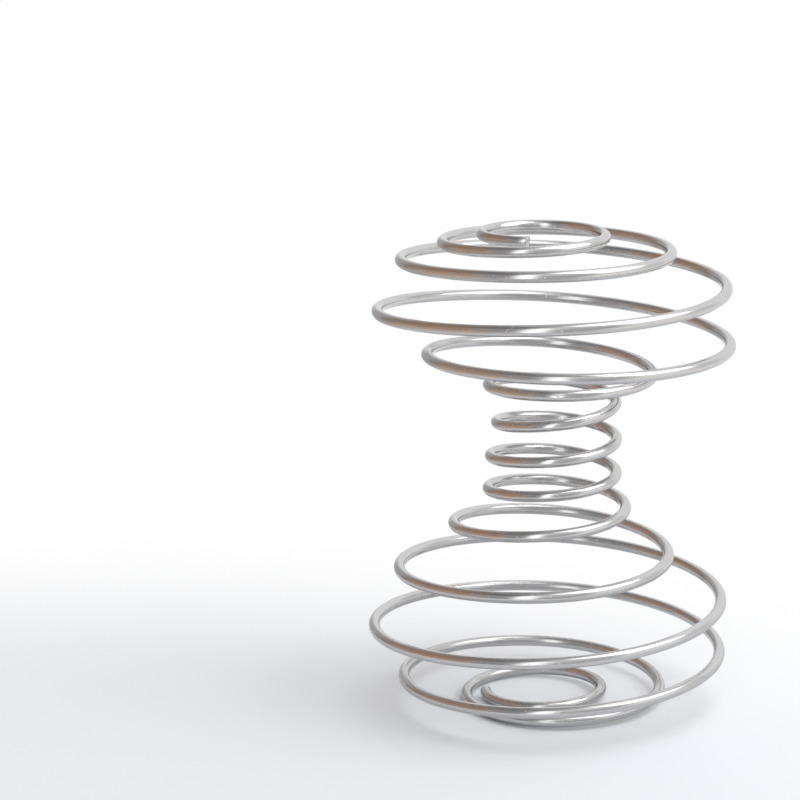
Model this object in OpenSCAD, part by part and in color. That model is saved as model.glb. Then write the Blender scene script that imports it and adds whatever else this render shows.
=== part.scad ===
// Compression spring in the shape of an hourglass, wound from one round wire.
// Two wide bulbs stand on each other at a narrow neck, and both cut ends close to small rings.
// Millimetres, Z up. The foot ring lies on Z = 0 and the wire's end is on the -X side.
// The wire climbs anticlockwise, seen from above, so the spring is right-handed.

/* [Part] */
// Part to draw

/* [Wire] */
// Diameter of the wire
wire_d = 1.6; // [0.8:0.1:2.4]
// Radius of the first quarter turn, at the cut end in the foot
first_r = 8.33; // [7:0.01:10]
// Rise over run of the wire where it starts
first_slope = 0.01; // [-0.05:0.005:0.05]
// Sweep of the last quarter turn, up to the cut end at the top, in degrees
last_sweep = 78; // [45:1:89]

/* [Reach of the wire's middle line from the axis: left, right, left, right] */
// Foot ring and the first loop around it
reach_foot = [8.9, 7.8, 11.7, 16.3]; // [5:0.1:30]
// Lower bulb, up to its widest loop
reach_bulb = [20.8, 24.8, 25.0, 24.8]; // [5:0.1:30]
// Lower bulb, closing toward the neck
reach_close = [21.3, 17.1, 13.6, 10.9]; // [5:0.1:30]
// Neck, lower half
reach_neck = [8.7, 9.6, 8.4, 9.6]; // [5:0.1:30]
// Neck, upper half, where it starts to open
reach_open = [7.5, 9.6, 8.7, 14.8]; // [5:0.1:30]
// Upper bulb, around its widest loop
reach_upper = [17.6, 25.4, 24.6, 24.3]; // [5:0.1:30]
// Upper bulb, closing toward the crown
reach_crown = [21.2, 16.3, 15.3, 7.1]; // [5:0.1:30]
// Crown ring, and the pull inward at its cut end
reach_end = [9.8, 0.5]; // [0:0.1:30]

/* [Height of the wire's middle line above the foot: left, right, left, right] */
// Foot ring and the first loop around it
rise_foot = [0, 0.7, 0, 1.1]; // [0:0.1:80]
// Lower bulb, up to its widest loop
rise_bulb = [3.0, 7.0, 10.3, 15.0]; // [0:0.1:80]
// Lower bulb, closing toward the neck
rise_close = [18.6, 21.5, 25.2, 28.2]; // [0:0.1:80]
// Neck, lower half
rise_neck = [30.5, 33.0, 35.3, 38.0]; // [0:0.1:80]
// Neck, upper half, where it starts to open
rise_open = [40.2, 43.3, 45.8, 47.2]; // [0:0.1:80]
// Upper bulb, around its widest loop
rise_upper = [50.3, 51.7, 56.3, 60.1]; // [0:0.1:80]
// Upper bulb, closing toward the crown
rise_crown = [63.4, 64.9, 65.8, 67.0]; // [0:0.1:80]
// Crown ring and its cut end
rise_end = [67.0, 66.9]; // [0:0.1:80]

/* [Place] */
// Shift of the axis that centres the widest loops on the origin, right and back
plan_shift = [0, -0.2]; // [-1:0.1:1]

/* [Hidden] */
$fn = 32;
reach = concat(reach_foot, reach_bulb, reach_close, reach_neck,
    reach_open, reach_upper, reach_crown, reach_end);
rise = concat(rise_foot, rise_bulb, rise_close, rise_neck,
    rise_open, rise_upper, rise_crown, rise_end);
// The wire is a chain of quarter turns, and the lists hold every second joint
arc_angle = 90;
half_loop = 2;
arcs = half_loop * (len(reach) - 1) - 1;
last_arc = arcs - 1;
// Arcs that are joined together before they meet the rest
group_n = 8;
// Roundings that keep neighbouring arcs exactly in line
radius_steps = 1000;
cosine_steps = 1000000;

// Entry k of a list, carried on in a straight line past its two ends
function entry(list, k) =
    let (top = len(list) - 1)
    k < 0 ? 2 * list[0] - list[1] : k > top ? 2 * list[top] - list[top - 1] : list[k];
// Smooth curve through four neighbours a, b, c and d, at the fraction f from b to c
function blend(a, b, c, d, f) =
    b + f * (c - a + f * (2 * a - 5 * b + 4 * c - d + f * (3 * (b - c) + d - a))) / 2;
// Value of a list at joint j
function at_joint(list, j) =
    let (s = j / half_loop, k = min(max(floor(s), 0), len(list) - 2))
    blend(entry(list, k - 1), entry(list, k), entry(list, k + 1), entry(list, k + 2), s - k);
// Roundings
function fine(r) = round(radius_steps * r) / radius_steps;
function whole(a) = sign(a) * acos(round(cosine_steps * cos(a)) / cosine_steps);

// Two arcs that meet at a joint add up to the reach of the joints before and after it
radii = [for (i = 0, r = first_r; i < arcs;
    r = at_joint(reach, i + 2) + at_joint(reach, i) - r, i = i + 1) fine(r)];
// A quarter turn climbs by its radius times the slopes at its two ends
function climb(i) = at_joint(rise, i + 1) - at_joint(rise, i);
slopes = [for (i = 0, s = first_slope; i <= arcs;
    s = climb(i) / radii[min(i, last_arc)] - s, i = i + 1) s];

// Directions are kept as the world's up, seen from the arc: outward, along the wire, upward
first_tilt = whole(asin(first_slope));
first_up = [0, sin(first_tilt), cos(first_tilt)];
// Roll about the wire that gives the arc's far end the slope s
function roll_of(up, s) = whole(acos(-s / norm([up.x, up.z])) - atan2(up.z, up.x));
function rolled(up, a) =
    [up.x * cos(a) - up.z * sin(a), up.y, up.x * sin(a) + up.z * cos(a)];
function swept(up) = [up.y, -up.x, up.z];
ups = [for (i = 0, up = first_up; i < arcs;
    up = swept(rolled(up, roll_of(up, slopes[i + 1]))), i = i + 1) up];
rolls = [for (i = [0 : last_arc]) roll_of(ups[i], slopes[i + 1])];

// Centre of the first arc's start, at the cut end in the foot
start = [
    plan_shift.x - at_joint(reach, 0),
    plan_shift.y + first_r - at_joint(reach, 1),
    wire_d / 2 + at_joint(rise, 0)
];

// Places the children n arcs further along the wire than the start of arc i
module along(i, n) {
    if (n == 0)
        children();
    else
        rotate([0, rolls[i], 0])
            translate([-radii[i], 0, 0])
                rotate([0, 0, arc_angle])
                    translate([radii[i], 0, 0])
                        along(i + 1, n - 1)
                            children();
}

// One quarter turn of wire
module arc(i) {
    rotate([0, rolls[i], 0])
        translate([-radii[i], 0, 0])
            rotate_extrude(angle = i == last_arc ? last_sweep : arc_angle)
                translate([radii[i], 0])
                    circle(d = wire_d);
}

// The whole wire, from the foot up
module coil() {
    color("silver")
        translate(start)
            rotate([0, 0, 2 * arc_angle])
                rotate([first_tilt, 0, 0])
                    for (g = [0 : group_n : last_arc])
                        along(0, g)
                            for (i = [g : min(g + group_n, arcs) - 1])
                                along(g, i - g)
                                    arc(i);
}

coil();
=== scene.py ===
# %% [markdown]
# An hourglass compression spring
#
# The spring is one round steel wire, wound right-handed. A small ring lies on the table,
# the loops widen into a lower bulb, close to a narrow neck, widen into an upper bulb and
# end in a small ring at the crown. This lesson winds that wire in Blender, gives it the
# surface that wire drawing leaves, and sets it in a small bright studio.

# %% Load the CAD model
import math

import bmesh
import bpy
from mathutils import Matrix, Vector


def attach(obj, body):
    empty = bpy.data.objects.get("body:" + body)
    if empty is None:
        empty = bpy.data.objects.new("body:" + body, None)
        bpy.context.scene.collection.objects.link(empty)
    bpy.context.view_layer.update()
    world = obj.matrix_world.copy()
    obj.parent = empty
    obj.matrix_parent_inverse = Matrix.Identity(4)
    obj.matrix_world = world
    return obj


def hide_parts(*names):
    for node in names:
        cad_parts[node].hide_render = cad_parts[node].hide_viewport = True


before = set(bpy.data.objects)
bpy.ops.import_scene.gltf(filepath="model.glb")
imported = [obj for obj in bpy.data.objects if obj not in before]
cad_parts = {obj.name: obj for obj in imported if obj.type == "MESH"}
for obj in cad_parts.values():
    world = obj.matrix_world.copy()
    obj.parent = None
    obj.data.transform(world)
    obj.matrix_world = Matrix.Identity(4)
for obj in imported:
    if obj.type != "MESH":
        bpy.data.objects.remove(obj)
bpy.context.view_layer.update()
MM = 0.001

# %% [markdown]
# The camera
#
# It stands 0.36 m in front of the spring and a little above it, as for a small product
# on a table. A long lens keeps the loops from spreading apart in perspective. The place
# and the tilt were found by matching where every loop of the wire falls in the picture,
# so no shift is needed.

# %% Camera
CAMERA_PLACE = Vector((-21.36, -360.2, 123.49)) * MM
LOOKS_DOWN = 12.43         # degrees
LENS, SENSOR = 117.22, 36  # millimetres, as on a real camera
NEAREST = 10 * MM          # nothing closer than this is drawn

camera = bpy.data.objects.new("camera", bpy.data.cameras.new("camera"))
bpy.context.scene.collection.objects.link(camera)
bpy.context.scene.camera = camera
camera.location = CAMERA_PLACE
camera.rotation_euler = (math.radians(90 - LOOKS_DOWN), 0, 0)
camera.data.lens = LENS
camera.data.sensor_width = SENSOR
camera.data.clip_start = NEAREST
print("camera", round(CAMERA_PLACE.length, 3), "m from the origin")

# %% [markdown]
# The loops, as a list of sizes
#
# A spring winder sets two things while the wire runs in: how far the wire stands from
# the axis, and how high it has climbed. Both are written here once every half turn, on
# the left, then on the right, and so on, for the middle line of the wire. They are the
# same numbers as in the CAD source, so the loops lie exactly where the CAD has them.

# %% Sizes of the wire, in millimetres
WIRE_D = 1.6
FIRST_R = 8.33      # radius of the first quarter turn, at the cut end in the foot
FIRST_SLOPE = 0.01  # rise over run of the wire where it starts
LAST_SWEEP = 78     # degrees that the last quarter turn goes, up to the cut end at the top
AXIS = (0.0, -0.2)  # where the spring's axis stands, right and back

# How far the middle line stands from the axis
REACH = [
    8.9, 7.8, 11.7, 16.3,       # foot ring and the loop around it
    20.8, 24.8, 25.0, 24.8,     # lower bulb, up to its widest loop
    21.3, 17.1, 13.6, 10.9,     # lower bulb, closing
    8.7, 9.6, 8.4, 9.6,         # neck, lower half
    7.5, 9.6, 8.7, 14.8,        # neck, upper half, where it opens
    17.6, 25.4, 24.6, 24.3,     # upper bulb, around its widest loop
    21.2, 16.3, 15.3, 7.1,      # upper bulb, closing
    9.8, 0.5,                   # crown ring and its end
]
# How high it has climbed, in the same rows
RISE = [
    0, 0.7, 0, 1.1,
    3.0, 7.0, 10.3, 15.0,
    18.6, 21.5, 25.2, 28.2,
    30.5, 33.0, 35.3, 38.0,
    40.2, 43.3, 45.8, 47.2,
    50.3, 51.7, 56.3, 60.1,
    63.4, 64.9, 65.8, 67.0,
    67.0, 66.9,
]
ARCS = 2 * (len(REACH) - 1) - 1
print("quarter turns of wire:", ARCS)

# %% [markdown]
# From the list to quarter turns
#
# Between two half turns the sizes follow a smooth curve. The wire itself is a chain of
# quarter circles, each of which starts in the direction that the last one ended in, so
# the wire has no kink. The radius of each quarter follows from the reach on both sides
# of it, and a small roll about the wire makes it climb to the next height. A free curve
# would do for the picture, but this chain is what the CAD solid is made of.

# %% Sizes at any joint
def entry(sizes, k):
    # Past its two ends, a list goes on in a straight line
    top = len(sizes) - 1
    if k < 0:
        return 2 * sizes[0] - sizes[1]
    if k > top:
        return 2 * sizes[top] - sizes[top - 1]
    return sizes[k]


def blend(a, b, c, d, f):
    # A smooth curve through four neighbours, at the fraction f of the way from b to c
    return b + f * (c - a + f * (2 * a - 5 * b + 4 * c - d + f * (3 * (b - c) + d - a))) / 2


def at_joint(sizes, joint):
    # There is a joint every quarter turn, and the lists hold every second one
    k = min(max(joint // 2, 0), len(sizes) - 2)
    a, b, c, d = (entry(sizes, k + n) for n in (-1, 0, 1, 2))
    return blend(a, b, c, d, joint / 2 - k)


print("reach at the first joints, mm:", [round(at_joint(REACH, n), 2) for n in range(5)])

# %% Radii and slopes
RADIUS_DECIMALS = 3  # as the CAD source rounds them

radii = [FIRST_R]
for i in range(1, ARCS):
    # Two quarters that meet at a joint add up to the reach of the joints on both sides
    both = at_joint(REACH, i + 1) + at_joint(REACH, i - 1)
    radii.append(round(both - radii[-1], RADIUS_DECIMALS))

slopes = [FIRST_SLOPE]
for i in range(ARCS):
    # A quarter turn climbs by its radius times the slopes at its two ends
    climb = at_joint(RISE, i + 1) - at_joint(RISE, i)
    slopes.append(climb / radii[i] - slopes[-1])
print("radii from", min(radii), "to", max(radii), "mm")

# %% [markdown]
# Where each quarter turn lies
#
# A matrix walks along the wire, with its X pointing away from the middle of the loop and
# its Y along the wire. At each joint it rolls about Y, just enough for the quarter to
# climb as it should, and then swings about the quarter's centre to the next joint. A row
# of empties, each parented to the one before it, would do the same, but a matrix leaves
# nothing behind in the scene.

# %% Place of each quarter turn
COSINE_DECIMALS = 6


def rounded_angle(angle):
    # The CAD source rounds its turns like this, to keep neighbours exactly in line
    cosine = round(math.cos(angle), COSINE_DECIMALS)
    return math.copysign(math.acos(min(1.0, cosine)), angle)


start = Vector((
    AXIS[0] - at_joint(REACH, 0),
    AXIS[1] + FIRST_R - at_joint(REACH, 1),
    WIRE_D / 2 + at_joint(RISE, 0),
)) * MM
place = (
    Matrix.Translation(start)
    @ Matrix.Rotation(math.pi, 4, "Z")
    @ Matrix.Rotation(rounded_angle(math.asin(FIRST_SLOPE)), 4, "X")
)
quarters = []  # for each one its matrix, its radius and its sweep
for i in range(ARCS):
    up = place.row[2]  # how steep each of the matrix's own directions is
    roll = math.acos(-slopes[i + 1] / math.hypot(up[0], up[2])) - math.atan2(up[2], up[0])
    place = place @ Matrix.Rotation(rounded_angle(roll), 4, "Y")
    radius = radii[i] * MM
    sweep = math.radians(LAST_SWEEP) if i == ARCS - 1 else math.pi / 2
    quarters.append((place.copy(), radius, sweep))
    inward, outward = (Matrix.Translation((side * radius, 0, 0)) for side in (-1, 1))
    place = place @ inward @ Matrix.Rotation(sweep, 4, "Z") @ outward

wire_length = sum(radius * sweep for _, radius, sweep in quarters)
turns = sum(sweep for _, _, sweep in quarters) / math.tau
print("wire length, mm:", round(wire_length / MM, 1), "turns:", round(turns, 2))

# %% [markdown]
# Winding the wire
#
# A curve with a round bevel is the quick way to a wire, but its rings are spaced by the
# curve's own points. Here a circle is spun instead, a quarter turn at a time, which is
# what a coiling machine does with the wire. Each vertex also keeps where it would be if
# the wire were pulled straight. Patterns that follow the wire read that.

# %% Wind one quarter turn
SIDES = 32       # of the wire's round section
STEP = 0.8 * MM  # along the wire, from one ring of vertices to the next
wire_r = WIRE_D / 2 * MM


def wind_quarter(section, quarter, radius, sweep, run):
    # The section is the frame of the wire's round end, which the last quarter left behind
    piece = bmesh.new()
    straight = piece.verts.layers.float_vector.new("straight")
    circle = bmesh.ops.create_circle(
        piece, cap_ends=False, segments=SIDES, radius=wire_r,
    )["verts"]
    for v in circle:
        v[straight] = (v.co.x, v.co.y, 0)
    bmesh.ops.transform(piece, matrix=section, verts=circle)
    bmesh.ops.spin(
        piece, geom=circle + piece.edges[:], cent=quarter @ Vector((-radius, 0, 0)),
        axis=quarter.col[2].xyz, dvec=(0, 0, 0), angle=sweep,
        steps=round(radius * sweep / STEP),
        use_merge=False, use_normal_flip=False, use_duplicate=False,
    )
    # A spun vertex has its place round the wire from the circle, and gets its own along it
    to_quarter = quarter.inverted()
    for v in piece.verts:
        local = to_quarter @ v.co
        turned = math.atan2(local.y, local.x + radius)
        v[straight] = (v[straight][0], v[straight][1], run + radius * turned)
    return piece


print("wire of", SIDES, "sides, a ring about every", round(STEP / MM, 2), "mm")

# %% Wind all of them and join them
JOIN = 0.001 * MM  # rings this close are one

# The last quarter is wound a wire's radius too long, to be cut back at the crown
quarter, radius, sweep = quarters[-1]
quarters[-1] = (quarter, radius, sweep + wire_r / radius)

wire = bmesh.new()
passing = bpy.data.meshes.new("passing")
first = quarters[0][0]
# The circle lies across the wire, so its own Z looks back along it
section = Matrix((first.col[0], first.col[2], -first.col[1], first.col[3])).transposed()
run = 0.0
for quarter, radius, sweep in quarters:
    piece = wind_quarter(section, quarter, radius, sweep, run)
    piece.to_mesh(passing)
    piece.free()
    wire.from_mesh(passing)
    centre = quarter @ Matrix.Translation((-radius, 0, 0))
    section = centre @ Matrix.Rotation(sweep, 4, "Z") @ centre.inverted() @ section
    run += radius * sweep
bpy.data.meshes.remove(passing)

rings = len(wire.verts) // SIDES
bmesh.ops.remove_doubles(wire, verts=wire.verts[:], dist=JOIN)
joined = rings - len(wire.verts) // SIDES
print("wire wound, mm:", round(run / MM, 1), "rings:", rings, "joined:", joined)

# %% [markdown]
# The two cut ends
#
# Spring wire is sheared off, and tumbling takes the sharp edge down a little. At the crown
# the shear went through a little askew, so the face is turned toward the viewer. A plane
# cuts the wire there, through the place where its middle line ends. It goes through other
# loops as well, so it is given only the last few millimetres of wire. The two open rings
# are then closed with a face each, and a small bevel turns their rims, or they would catch
# no light at all.

# %% Shear the crown's end
CROWN_FACE = Vector((0.90, -0.34, -0.10)).normalized()  # the way that the cut face looks
SHEARED = 4 * MM                                        # how much wire the plane is given

straight = wire.verts.layers.float_vector["straight"]


def near_the_end(v):
    return v[straight].z > run - SHEARED


last_bit = [v for v in wire.verts if near_the_end(v)]
last_bit += [
    part for part in wire.edges[:] + wire.faces[:] if all(near_the_end(v) for v in part.verts)
]
# The matrix that walked along the wire has stopped where the middle line ends
end, along = place.col[3].xyz, place.col[1].xyz
bmesh.ops.bisect_plane(
    wire, geom=last_bit, plane_co=end, plane_no=CROWN_FACE, clear_outer=True,
)
print("cut askew by, degrees:", round(math.degrees(CROWN_FACE.angle(along)), 1))

# %% Close the ends and ease their rims
RIM = 0.09 * MM
RIM_STEPS = 3
CUT_SLOT = 1  # the second material, which is made for the cut faces below

rim_edges = [e for e in wire.edges if e.is_boundary]
ends = bmesh.ops.holes_fill(wire, edges=rim_edges, sides=0)["faces"]
for face in ends:
    face.material_index = CUT_SLOT
bmesh.ops.bevel(
    wire, geom=rim_edges, offset=RIM, offset_type="OFFSET", segments=RIM_STEPS,
    profile=0.5, affect="EDGES", material=-1, clamp_overlap=True,
)
bmesh.ops.recalc_face_normals(wire, faces=wire.faces[:])
for face in wire.faces:
    face.smooth = True
print("ends closed:", len(ends), "edges still open:", sum(e.is_boundary for e in wire.edges))

# %% [markdown]
# The finished piece
#
# The mesh becomes one object at the origin, with its place in its mesh. It rides on the
# spring's only body. The CAD solid could stay and be given a better material, but it has no
# straightened places for the pattern, so this piece replaces it. The solid stays in the physics
# model, for collision.

# %% Hand the wire over
coil_mesh = bpy.data.meshes.new("wound_wire")
wire.to_mesh(coil_mesh)
wire.free()
coil = bpy.data.objects.new("wound_wire", coil_mesh)
bpy.context.scene.collection.objects.link(coil)
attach(coil, "root")
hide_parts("coil")
print("piece", coil.name, "of", len(coil_mesh.polygons), "faces")

# %% [markdown]
# Colours and nodes
#
# Colours are written as sRGB hex, as a paint chart gives them, and Blender's shaders
# want linear values. One function does that. Another adds a node with its settings and
# links, so that each material below reads as a short list.

# %% Helpers for materials
def linear(hex_colour):
    # The curve of sRGB, taken back, and full opacity
    parts = [int(hex_colour[k:k + 2], 16) / 255 for k in (1, 3, 5)]
    return [c / 12.92 if c <= 0.04045 else ((c + 0.055) / 1.055) ** 2.4 for c in parts] + [1.0]


def add(tree, kind, settings=None, **inputs):
    # An input goes by its name, or as _6 by its number where a node has several of one name
    node = tree.nodes.new(kind)
    for key, value in (settings or {}).items():
        setattr(node, key, value)
    for key, value in inputs.items():
        socket = node.inputs[int(key[1:]) if key[0] == "_" else key.replace("_", " ")]
        if isinstance(value, bpy.types.NodeSocket):
            tree.links.new(value, socket)
        else:
            socket.default_value = value
    return node


def new_material(name):
    material = bpy.data.materials.new(name)
    material.use_nodes = True
    material.node_tree.nodes.clear()
    return material, material.node_tree


print("middle grey #808080 is, in linear values:", [round(c, 3) for c in linear("#808080")])

# %% [markdown]
# Drawn stainless steel
#
# The wire is stainless steel, pulled cold through a die. The die leaves it bright, with
# fine lines along it that are a few hundredths of a millimetre wide. They are too fine
# for this picture, so they are drawn about 0.15 mm wide and 12 mm long. They stretch the
# highlights round the wire and give the satin look. A slow change of roughness stands
# for handling, which leaves some lengths a little duller than others. Springs are tumbled
# together, and that leaves small nicks, which show as dull specks in the highlights.
# They are drawn a little larger than real ones too. All of it could be painted on, but
# noise that is stretched along the wire has no seam.

# %% Drawing lines of the wire
LINE_WIDTH, LINE_LENGTH = 0.15 * MM, 12 * MM
LINE_DARK, LINE_BRIGHT = linear("#B5B4B4"), linear("#D5D4D4")

steel, tree = new_material("drawn_stainless_steel")
pulled = add(tree, "ShaderNodeAttribute", {"attribute_name": "straight"}).outputs["Vector"]
line_place = add(
    tree, "ShaderNodeMapping", Vector=pulled,
    Scale=(1 / LINE_WIDTH, 1 / LINE_WIDTH, 1 / LINE_LENGTH),
)
lines = add(
    tree, "ShaderNodeTexNoise", Vector=line_place.outputs[0],
    Scale=1.0, Detail=3.0, Roughness=0.6,
).outputs["Fac"]
line_tone = add(
    tree, "ShaderNodeMix", {"data_type": "RGBA"}, _0=lines, _6=LINE_DARK, _7=LINE_BRIGHT,
).outputs[2]
print("lines round the wire, about:", round(math.tau * wire_r / LINE_WIDTH))

# %% Gloss of the wire, and its nicks
NOISE_LOW, NOISE_HIGH = 0.3, 0.7  # most values of a noise lie between these
LINE_ROUGH = (0.14, 0.23)
HANDLED = 25 * MM                 # over this length the gloss changes
HANDLED_ROUGH = (-0.02, 0.03)     # what that adds to the roughness of the lines
NICK_WIDTH = 0.45 * MM
NICK_LENGTH = 2 * NICK_WIDTH
NICK_FROM, NICK_TO = 0.68, 0.75   # only the peaks of a noise, so the nicks are few
NICK_ROUGH = 0.2

handled_place = add(
    tree, "ShaderNodeMapping", Vector=pulled, Scale=(1 / HANDLED, 1 / HANDLED, 1 / HANDLED),
)
handling = add(
    tree, "ShaderNodeTexNoise", Vector=handled_place.outputs[0],
    Scale=1.0, Detail=2.0, Roughness=0.5,
).outputs["Fac"]
nick_place = add(
    tree, "ShaderNodeMapping", Vector=pulled,
    Scale=(1 / NICK_WIDTH, 1 / NICK_WIDTH, 1 / NICK_LENGTH),
)
peaks = add(
    tree, "ShaderNodeTexNoise", Vector=nick_place.outputs[0],
    Scale=1.0, Detail=1.0, Roughness=0.5,
).outputs["Fac"]
line_rough = add(
    tree, "ShaderNodeMapRange", Value=lines, From_Min=NOISE_LOW, From_Max=NOISE_HIGH,
    To_Min=LINE_ROUGH[0], To_Max=LINE_ROUGH[1],
).outputs[0]
handled_rough = add(
    tree, "ShaderNodeMapRange", Value=handling, From_Min=NOISE_LOW, From_Max=NOISE_HIGH,
    To_Min=HANDLED_ROUGH[0], To_Max=HANDLED_ROUGH[1],
).outputs[0]
nicks = add(
    tree, "ShaderNodeMapRange", Value=peaks, From_Min=NICK_FROM, From_Max=NICK_TO,
).outputs[0]
clean_rough = add(
    tree, "ShaderNodeMath", {"operation": "ADD"}, _0=line_rough, _1=handled_rough,
).outputs[0]
rough = add(
    tree, "ShaderNodeMath", {"operation": "MULTIPLY_ADD"},
    _0=nicks, _1=NICK_ROUGH, _2=clean_rough,
).outputs[0]
print("roughness from", round(LINE_ROUGH[0] + HANDLED_ROUGH[0], 2), "to",
      round(LINE_ROUGH[1] + HANDLED_ROUGH[1] + NICK_ROUGH, 2), "in a nick")

# %% Relief and shader of the wire
LINE_DEPTH, NICK_DEPTH = 0.004 * MM, 0.02 * MM

grooves = add(tree, "ShaderNodeBump", Strength=0.35, Distance=LINE_DEPTH, Height=lines)
dents = add(
    tree, "ShaderNodeBump", {"invert": True},
    Strength=0.4, Distance=NICK_DEPTH, Height=nicks, Normal=grooves.outputs[0],
)
# The tint takes a little light from grazing angles, as the lines of a drawn surface do
shader = add(
    tree, "ShaderNodeBsdfPrincipled", Metallic=1.0, Base_Color=line_tone,
    Specular_Tint=linear("#EAEAEA"), Roughness=rough, Normal=dents.outputs[0],
)
add(tree, "ShaderNodeOutputMaterial", Surface=shader.outputs[0])
coil_mesh.materials.append(steel)
print("material of the wire:", steel.name, "with", len(tree.nodes), "nodes")

# %% [markdown]
# The sheared face
#
# A shear cuts half way into the wire and the rest breaks off. So one half of each end is
# burnished and the other is grainy, like broken sugar. On a face of 1.6 mm that shows as
# a brighter and a duller half. The straightened place says which half a point is in, so
# the face needs no cut of its own between them.

# %% Material of the cut ends
BREAK = 0.15 * MM  # how far from the middle the halves run into each other
GRAIN = 0.12 * MM  # real grains are finer, and wouldn't show
PIT = 0.03 * MM    # how deep it is between them
BURNISHED_ROUGH, BROKEN_ROUGH = 0.3, 0.45
GRAIN_DARK, GRAIN_BRIGHT = linear("#B8B6B3"), linear("#E4E3E0")

sheared, tree = new_material("sheared_stainless_steel")
pulled = add(tree, "ShaderNodeAttribute", {"attribute_name": "straight"}).outputs["Vector"]
across = add(tree, "ShaderNodeSeparateXYZ", Vector=pulled).outputs["X"]
broken = add(
    tree, "ShaderNodeMapRange", Value=across, From_Min=-BREAK, From_Max=BREAK,
).outputs[0]
grain_place = add(
    tree, "ShaderNodeMapping", Vector=pulled, Scale=(1 / GRAIN, 1 / GRAIN, 1 / GRAIN),
)
grain = add(
    tree, "ShaderNodeTexNoise", Vector=grain_place.outputs[0],
    Scale=1.0, Detail=2.0, Roughness=0.6,
).outputs["Fac"]
rough = add(
    tree, "ShaderNodeMapRange", Value=broken, To_Min=BURNISHED_ROUGH, To_Max=BROKEN_ROUGH,
).outputs[0]
pits = add(tree, "ShaderNodeMath", {"operation": "MULTIPLY"}, _0=grain, _1=broken).outputs[0]
relief = add(tree, "ShaderNodeBump", Strength=0.6, Distance=PIT, Height=pits)
tone = add(
    tree, "ShaderNodeMix", {"data_type": "RGBA"}, _0=grain, _6=GRAIN_DARK, _7=GRAIN_BRIGHT,
).outputs[2]
shader = add(
    tree, "ShaderNodeBsdfPrincipled", Metallic=1.0, Base_Color=tone,
    Roughness=rough, Normal=relief.outputs[0],
)
add(tree, "ShaderNodeOutputMaterial", Surface=shader.outputs[0])
coil_mesh.materials.append(sheared)
print("materials:", [m.name for m in coil_mesh.materials])

# %% [markdown]
# The table
#
# A pale matt sheet carries the spring. It is wide, so that no edge shows, and with the distance
# it fades to the white of the backdrop. That fading is also painted light: it is measured from
# a point in front on the left, so the sheet is painted lighter toward the back and the right,
# as if more light fell there, and the shadow behind the spring is partly painted over with
# light. In front of the spring and on its left the sheet stays plain and keeps the soft
# shadows. The wire mirrors more of the room than the camera sees, so in the wire's mirror image
# the sheet ends where it fades, and the table beyond it shows. Two sheets, one for each, would
# do that too, but then they would have to match.

# %% Sheet on the table
SHEET_R = 300 * MM
SHEET_SIDES = 96

sheet_shape = bmesh.new()
bmesh.ops.create_circle(sheet_shape, cap_ends=True, segments=SHEET_SIDES, radius=SHEET_R)
floor_mesh = bpy.data.meshes.new("table_sheet")
sheet_shape.to_mesh(floor_mesh)
sheet_shape.free()
floor = bpy.data.objects.new("table_sheet", floor_mesh)
bpy.context.scene.collection.objects.link(floor)
print("floor", round(max(floor.dimensions), 2), "m across")

# %% Material of the sheet
# Painted light on the sheet grows with the distance from this point, so the sheet is lighter
# toward the back and the right
PAINTED_LIGHT_LEAST_AT = Vector((-60, -90, 0)) * MM        # of the sheet's grey part, on the left
FADE_FROM, FADE_TO = 80 * MM, 190 * MM          # from there, as the camera sees it
MIRRORED_FROM, MIRRORED_TO = 60 * MM, 150 * MM  # from the spring, as the wire mirrors it
WHITE = (1.0, 1.0, 1.0, 1.0)

card_with_painted_light, tree = new_material("white_card_with_painted_light")
place_on = add(tree, "ShaderNodeTexCoord").outputs["Object"]
from_least_painted_light = add(
    tree, "ShaderNodeVectorMath", {"operation": "DISTANCE"}, _0=place_on, _1=PAINTED_LIGHT_LEAST_AT,
).outputs["Value"]
from_spring = add(
    tree, "ShaderNodeVectorMath", {"operation": "LENGTH"}, _0=place_on,
).outputs["Value"]
# How much painted light the camera sees on the sheet, which also takes it into the backdrop's
# white
fade_and_painted_light = add(
    tree, "ShaderNodeMapRange", {"interpolation_type": "SMOOTHERSTEP"},
    Value=from_least_painted_light, From_Min=FADE_FROM, From_Max=FADE_TO,
).outputs[0]
opening = add(
    tree, "ShaderNodeMapRange", {"interpolation_type": "SMOOTHERSTEP"},
    Value=from_spring, From_Min=MIRRORED_FROM, From_Max=MIRRORED_TO,
).outputs[0]
ray = add(tree, "ShaderNodeLightPath").outputs
mirrored = add(
    tree, "ShaderNodeMath", {"operation": "MAXIMUM"},
    _0=ray["Is Glossy Ray"], _1=ray["Is Transmission Ray"],
).outputs[0]
seen_fade_and_painted_light = add(
    tree, "ShaderNodeMath", {"operation": "MULTIPLY"}, _0=fade_and_painted_light, _1=ray["Is Camera Ray"],
).outputs[0]
far_mirrored = add(
    tree, "ShaderNodeMath", {"operation": "MULTIPLY"}, _0=opening, _1=mirrored,
).outputs[0]
matt = add(tree, "ShaderNodeBsdfDiffuse", Color=linear("#EDF1F6"), Roughness=0.3).outputs[0]
# This glowing white is the backdrop's white and also the painted light on the sheet
bright = add(tree, "ShaderNodeEmission", Color=WHITE, Strength=1.0).outputs[0]
open_to_room = add(tree, "ShaderNodeBsdfTransparent", Color=WHITE).outputs[0]
faded = add(tree, "ShaderNodeMixShader", _0=seen_fade_and_painted_light, _1=matt, _2=bright).outputs[0]
shader = add(tree, "ShaderNodeMixShader", _0=far_mirrored, _1=faded, _2=open_to_room)
add(tree, "ShaderNodeOutputMaterial", Surface=shader.outputs[0])
floor_mesh.materials.append(card_with_painted_light)
print("sheet of", card_with_painted_light.name, "fades from", round(FADE_FROM, 2), "to", round(FADE_TO, 2), "m")

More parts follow.
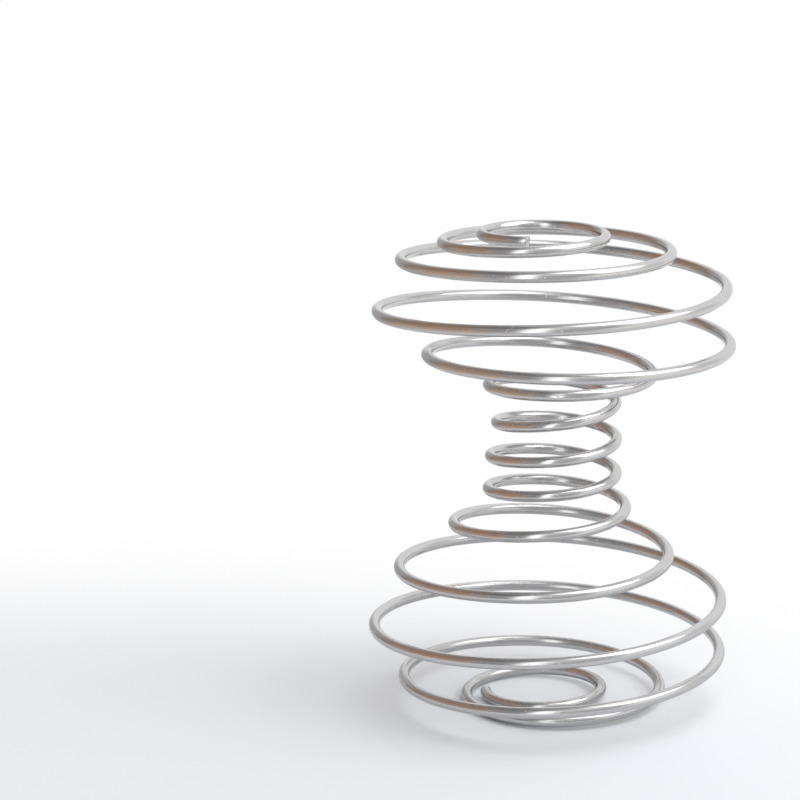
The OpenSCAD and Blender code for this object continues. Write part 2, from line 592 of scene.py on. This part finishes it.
# %% [markdown]
# The room that the wire mirrors
#
# Bare wire has hardly any colour of its own: what one sees is the room. It is made here
# of soft patches of the world, each named for what stands there. A patch is given by the
# direction in which it lies, its half width, and its lowest and highest edge, all in
# degrees as seen from the spring. An image of a real room could be wrapped around the
# scene instead, but patches need no file, and each is tuned on its own. The camera itself
# sees plain white past the floor, and the wire mirrors a backdrop close to it.

# %% Directions in the room
world = bpy.data.worlds.new("small_studio")
bpy.context.scene.world = world
world.use_nodes = True
tree = world.node_tree
tree.nodes.clear()
direction = add(tree, "ShaderNodeTexCoord").outputs["Generated"]
upward = add(tree, "ShaderNodeSeparateXYZ", Vector=direction).outputs["Z"]
elevation = add(tree, "ShaderNodeMath", {"operation": "ARCSINE"}, _0=upward).outputs[0]
print("world", world.name, "has", len(tree.nodes), "nodes for its directions")

# %% One soft patch of the room
def patch(base, level, tint, azimuth, half_width, low, high, soft):
    # Azimuth 0 lies straight behind the spring, 90 on its right
    a = math.radians(azimuth)
    ahead, aside = (
        add(
            tree, "ShaderNodeVectorMath", {"operation": "DOT_PRODUCT"}, _0=direction, _1=toward,
        ).outputs["Value"]
        for toward in ((math.sin(a), math.cos(a), 0), (math.cos(a), -math.sin(a), 0))
    )
    turned = add(tree, "ShaderNodeMath", {"operation": "ARCTAN2"}, _0=aside, _1=ahead)
    off = add(tree, "ShaderNodeMath", {"operation": "ABSOLUTE"}, _0=turned.outputs[0])
    edges = [
        (off.outputs[0], half_width + soft, half_width - soft),
        (elevation, low - soft, low + soft),
        (elevation, high + soft, high - soft),
    ]
    amount = 1.0
    for value, none, full in edges:
        ramp = add(
            tree, "ShaderNodeMapRange", {"interpolation_type": "SMOOTHSTEP"}, Value=value,
            From_Min=math.radians(none), From_Max=math.radians(full),
        ).outputs[0]
        amount = add(
            tree, "ShaderNodeMath", {"operation": "MULTIPLY"}, _0=ramp, _1=amount,
        ).outputs[0]
    colour = [level * part for part in tint] + [1.0]
    return add(
        tree, "ShaderNodeMix", {"data_type": "RGBA"}, _0=amount, _6=base, _7=colour,
    ).outputs[2]


# Tints are linear, and hardly change the brightness that a patch is given
NEUTRAL = (1.0, 1.0, 1.0)
IVORY = (1.03, 1.0, 0.95)
WOOD = (1.40, 0.95, 0.68)
PALE_WOOD = (1.27, 0.98, 0.76)
FADED_WOOD = (1.15, 0.98, 0.86)
LUMA = (0.2126, 0.7152, 0.0722)
for tint in (IVORY, WOOD, PALE_WOOD, FADED_WOOD):
    print("tint", tint, "as bright as", round(sum(w * t for w, t in zip(LUMA, tint)), 2))

# %% What stands in the room
ROOM_LEVEL = 0.58
PATCHES = [
    # Name, level and tint; azimuth, half width, low edge, high edge and softness in degrees
    ("dim corner on the left", 0.40, NEUTRAL, -142, 15, -14, 66, 8),
    ("dim ceiling on the left", 0.25, NEUTRAL, -85, 62, 42, 80, 10),
    ("faded end of the wooden wall", 0.33, FADED_WOOD, -58, 19, -14, 26, 9),
    ("wooden wall", 0.32, WOOD, -93, 29, -12, 49, 9),
    ("top of the wooden wall", 0.30, WOOD, -60, 30, 22, 58, 9),
    ("foot of the wooden wall", 0.46, PALE_WOOD, -90, 31, -12, 12, 9),
    ("sunlit part of the wooden wall", 0.42, WOOD, -96, 12, -2, 27, 6),
    ("wooden table past the sheet", 0.56, PALE_WOOD, -92, 46, -95, -8, 12),
    ("pale wall on the right", 0.87, NEUTRAL, 98, 42, -95, 60, 8),
    ("part of that wall by the lamp", 1.14, NEUTRAL, 114, 22, -14, 30, 9),
    ("lit ceiling in front", 0.85, NEUTRAL, 165, 22, 28, 72, 9),
    ("white table on the right", 1.15, IVORY, 92, 58, -95, -8, 12),
    ("white backdrop", 1.13, NEUTRAL, 25, 35, -95, 58, 9),
    ("bright ceiling on the right", 1.34, NEUTRAL, 58, 36, 64, 84, 6),
    ("window behind the camera", 2.10, NEUTRAL, -165, 8, -28, 54, 4),
]

room = [ROOM_LEVEL] * 3 + [1.0]
for name, level, tint, azimuth, *edges in PATCHES:
    room = patch(room, level, tint, azimuth, *edges)
    print(name, "at", azimuth, "degrees")
ray = add(tree, "ShaderNodeLightPath").outputs
seen = add(
    tree, "ShaderNodeMix", {"data_type": "RGBA"}, _0=ray["Is Camera Ray"], _6=room, _7=WHITE,
).outputs[2]
background = add(tree, "ShaderNodeBackground", Color=seen, Strength=1.0)
add(tree, "ShaderNodeOutputWorld", Surface=background.outputs[0])

# %% [markdown]
# The lamp
#
# One large soft box stands on the right, above the spring. It is what the wire mirrors as
# the white band on the right of every loop, and it lays the soft shadow on the left. A
# glowing patch of the world could do the first, but a lamp is sampled on its own, and its
# shadow comes out with less grain.

# %% Soft box
LAMP_AZIMUTH, LAMP_HEIGHT = math.radians(108), math.radians(56)
LAMP_AWAY = 0.32
LAMP_SIZE = (0.25, 0.30)
LAMP_LEVEL = 2.3
MIDDLE = Vector((0, 0, 35 * MM))  # of the spring, half way up

lamp_data = bpy.data.lights.new("soft_box", "AREA")
lamp_data.shape = "RECTANGLE"
lamp_data.size, lamp_data.size_y = LAMP_SIZE
# An area lamp of this power is as bright to look at as a white surface at LAMP_LEVEL
lamp_data.energy = LAMP_LEVEL * math.pi * LAMP_SIZE[0] * LAMP_SIZE[1]
lamp = bpy.data.objects.new("soft_box", lamp_data)
bpy.context.scene.collection.objects.link(lamp)
lamp.location = MIDDLE + LAMP_AWAY * Vector((
    math.sin(LAMP_AZIMUTH) * math.cos(LAMP_HEIGHT),
    math.cos(LAMP_AZIMUTH) * math.cos(LAMP_HEIGHT),
    math.sin(LAMP_HEIGHT),
))
lamp.rotation_euler = (MIDDLE - lamp.location).to_track_quat("-Z", "Y").to_euler()
print("soft box at, m:", [round(v, 3) for v in lamp.location])
print("soft box, W:", round(lamp_data.energy, 2))

# %% [markdown]
# The view transform
#
# The plain view transform keeps every colour as it is lit.

# %% View transform
bpy.context.scene.view_settings.view_transform = "Standard"
